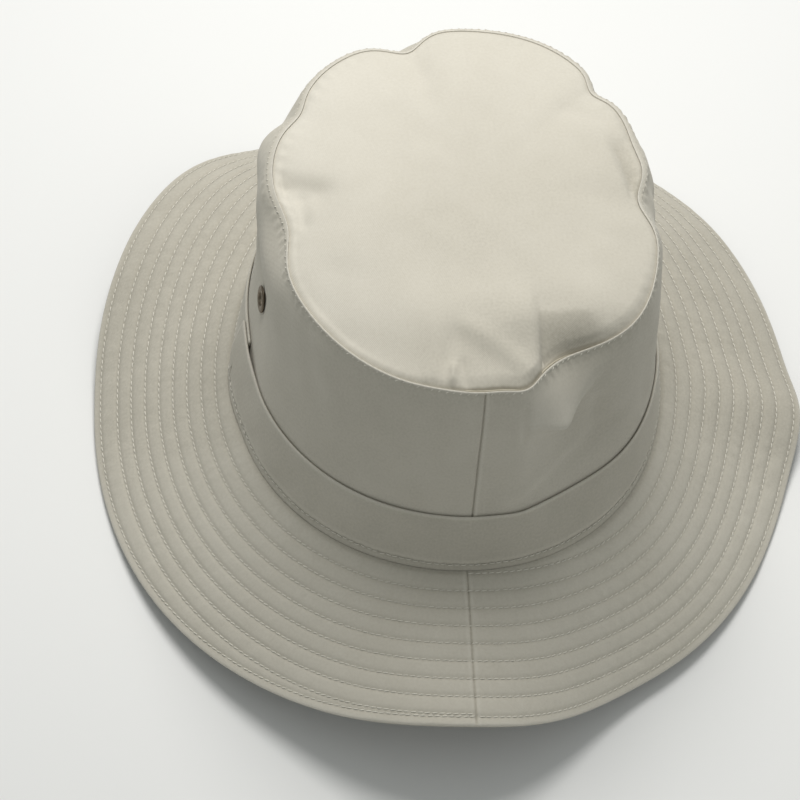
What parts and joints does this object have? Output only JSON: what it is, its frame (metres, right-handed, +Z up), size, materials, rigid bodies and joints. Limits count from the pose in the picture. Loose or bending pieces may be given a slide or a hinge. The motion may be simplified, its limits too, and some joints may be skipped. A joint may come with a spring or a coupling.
{
  "type": "boonie hat",
  "caption": "Soft cotton boonie hat with a dented oval crown, plain hatband, metal vent eyelets and a wide drooping brim quilted with a spiral of stitching.",
  "frame": {"origin": "centre of the hat's box, on the level surface that the brim's low points stand on", "axes": "+Z up through the tip, -Y the way the wearer faces, +Y the back of the hat, +X the wearer's left"},
  "size_m": [0.2894, 0.323, 0.1462],
  "materials": {
    "cloth": "faded olive khaki cotton ripstop-weight cloth, matte",
    "brim_cloth": "the same cloth, quilted, matte",
    "under_cloth": "the same cloth on the underside, matte",
    "interlining": "stiff woven interlining, matte",
    "sweatband": "folded cotton band, matte",
    "tape": "plain woven binding tape, matte",
    "thread": "twisted polyester sewing thread, slight sheen",
    "label": "blank woven label, matte",
    "eyelet_metal": "darkened antique brass, satin"
  },
  "bodies": {
    "root": {"crown_wall": "cloth", "crown_tip": "cloth", "hatband": "cloth", "brim_top_cloth": "brim_cloth", "brim_interlining": "interlining", "brim_under_cloth": "under_cloth", "sweatband": "sweatband", "tip_seam_tape": "tape", "back_seam_tape": "tape", "size_label": "label", "vent_eyelet_left_rear": "eyelet_metal", "vent_eyelet_left_front": "eyelet_metal", "vent_eyelet_right_rear": "eyelet_metal", "vent_eyelet_right_front": "eyelet_metal", "vent_washer_left_rear": "eyelet_metal", "vent_washer_left_front": "eyelet_metal", "vent_washer_right_rear": "eyelet_metal", "vent_washer_right_front": "eyelet_metal", "tip_topstitch": "thread", "brim_quilting": "thread", "brim_edge_stitch": "thread", "hatband_stitch": "thread"}
  },
  "joints": []
}
